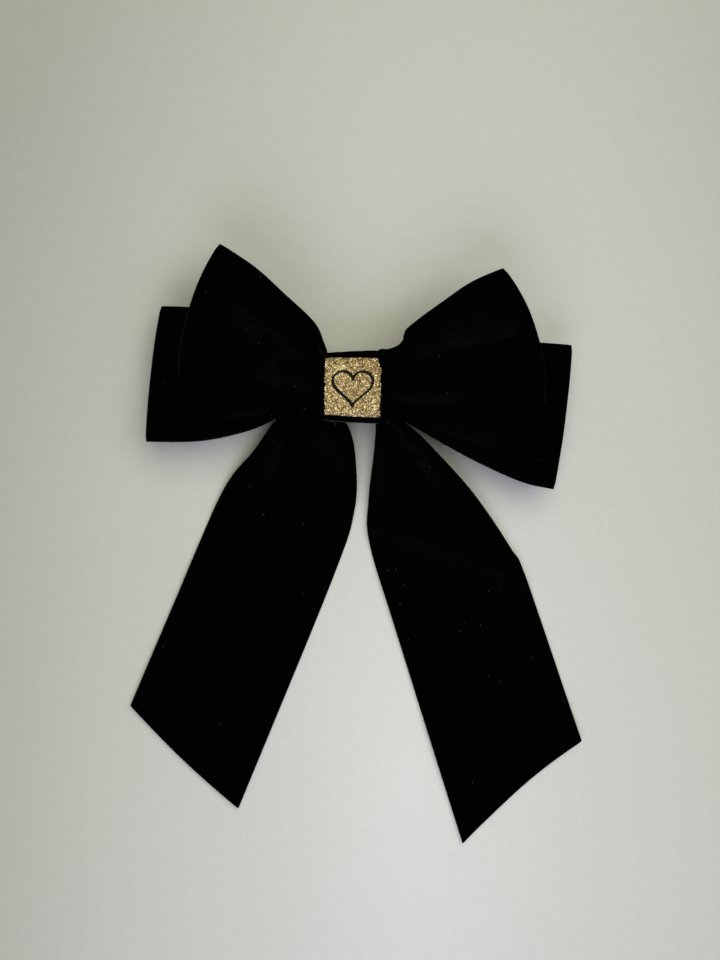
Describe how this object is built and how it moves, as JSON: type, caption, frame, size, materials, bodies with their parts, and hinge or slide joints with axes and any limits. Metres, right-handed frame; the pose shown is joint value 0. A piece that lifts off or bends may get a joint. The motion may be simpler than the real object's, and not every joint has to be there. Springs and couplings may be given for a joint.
{
  "type": "hair bow",
  "caption": "Black velvet ribbon hair bow with layered loops and diagonal-cut tails, a gold glitter patch on its wrapped knot, and a spring barrette behind.",
  "frame": {"origin": "on the surface that the bow lies on, under the middle of its bounding box", "axes": "+Z out of the bow's front face, -Y along the tails, +X to the right as seen from the front"},
  "size_m": [0.1602, 0.2089, 0.031],
  "materials": {
    "velvet": "short-pile black velvet ribbon",
    "thread": "black sewing thread",
    "gold_glitter": "gold glitter fabric, sparkling flakes",
    "black_vinyl": "matt heat-pressed vinyl",
    "steel": "nickel-plated pressed steel",
    "spring_steel": "plain spring steel"
  },
  "bodies": {
    "root": {"front_loop_ribbon": "velvet", "back_loop_ribbon": "velvet", "tail_fold": "velvet", "gather_thread": "thread", "centre_wrap": "velvet", "wrap_stitches": "thread", "glitter_patch": "gold_glitter", "patch_motif": "black_vinyl", "barrette_base": "steel", "hinge_pin": "steel", "tension_bar": "spring_steel", "catch_bracket": "steel", "catch_rivet": "steel"},
    "clasp_arm": {"clasp_arm": "steel"},
    "catch_tab_upper": {"catch_tab_upper": "spring_steel"},
    "catch_tab_lower": {"catch_tab_lower": "spring_steel"},
    "left_tail": {"left_tail": "velvet"},
    "right_tail": {"right_tail": "velvet"}
  },
  "joints": [
    {"name": "clasp_hinge", "type": "hinge", "parent": "root", "child": "clasp_arm", "pos_m": [-0.0376, 0.05615, 0.0022], "axis": [0, 1, 0], "range_deg": [0, 75]},
    {"name": "catch_press", "type": "hinge", "parent": "root", "child": "catch_tab_upper", "pos_m": [0.03258, 0.0583, 0.00658], "axis": [-0.9641, 0, 0.2654], "range_deg": [0, 9], "stiffness_Nm_per_rad": 0.02},
    {"name": "catch_press_lower", "type": "hinge", "parent": "root", "child": "catch_tab_lower", "pos_m": [0.03258, 0.054, 0.00658], "axis": [0.9641, 0, -0.2654], "range_deg": [0, 9], "stiffness_Nm_per_rad": 0.02},
    {"name": "left_tail_lift", "type": "hinge", "parent": "root", "child": "left_tail", "pos_m": [-0.01745, 0.03525, 0.008], "axis": [-0.9251, 0.3797, 0], "range_deg": [0, 60]},
    {"name": "right_tail_lift", "type": "hinge", "parent": "root", "child": "right_tail", "pos_m": [0.01485, 0.03575, 0.008], "axis": [-0.9512, -0.3085, 0], "range_deg": [0, 60]}
  ],
  "couplings": [
    {"joint": "catch_press_lower", "follows": "catch_press", "ratio": 1}
  ]
}
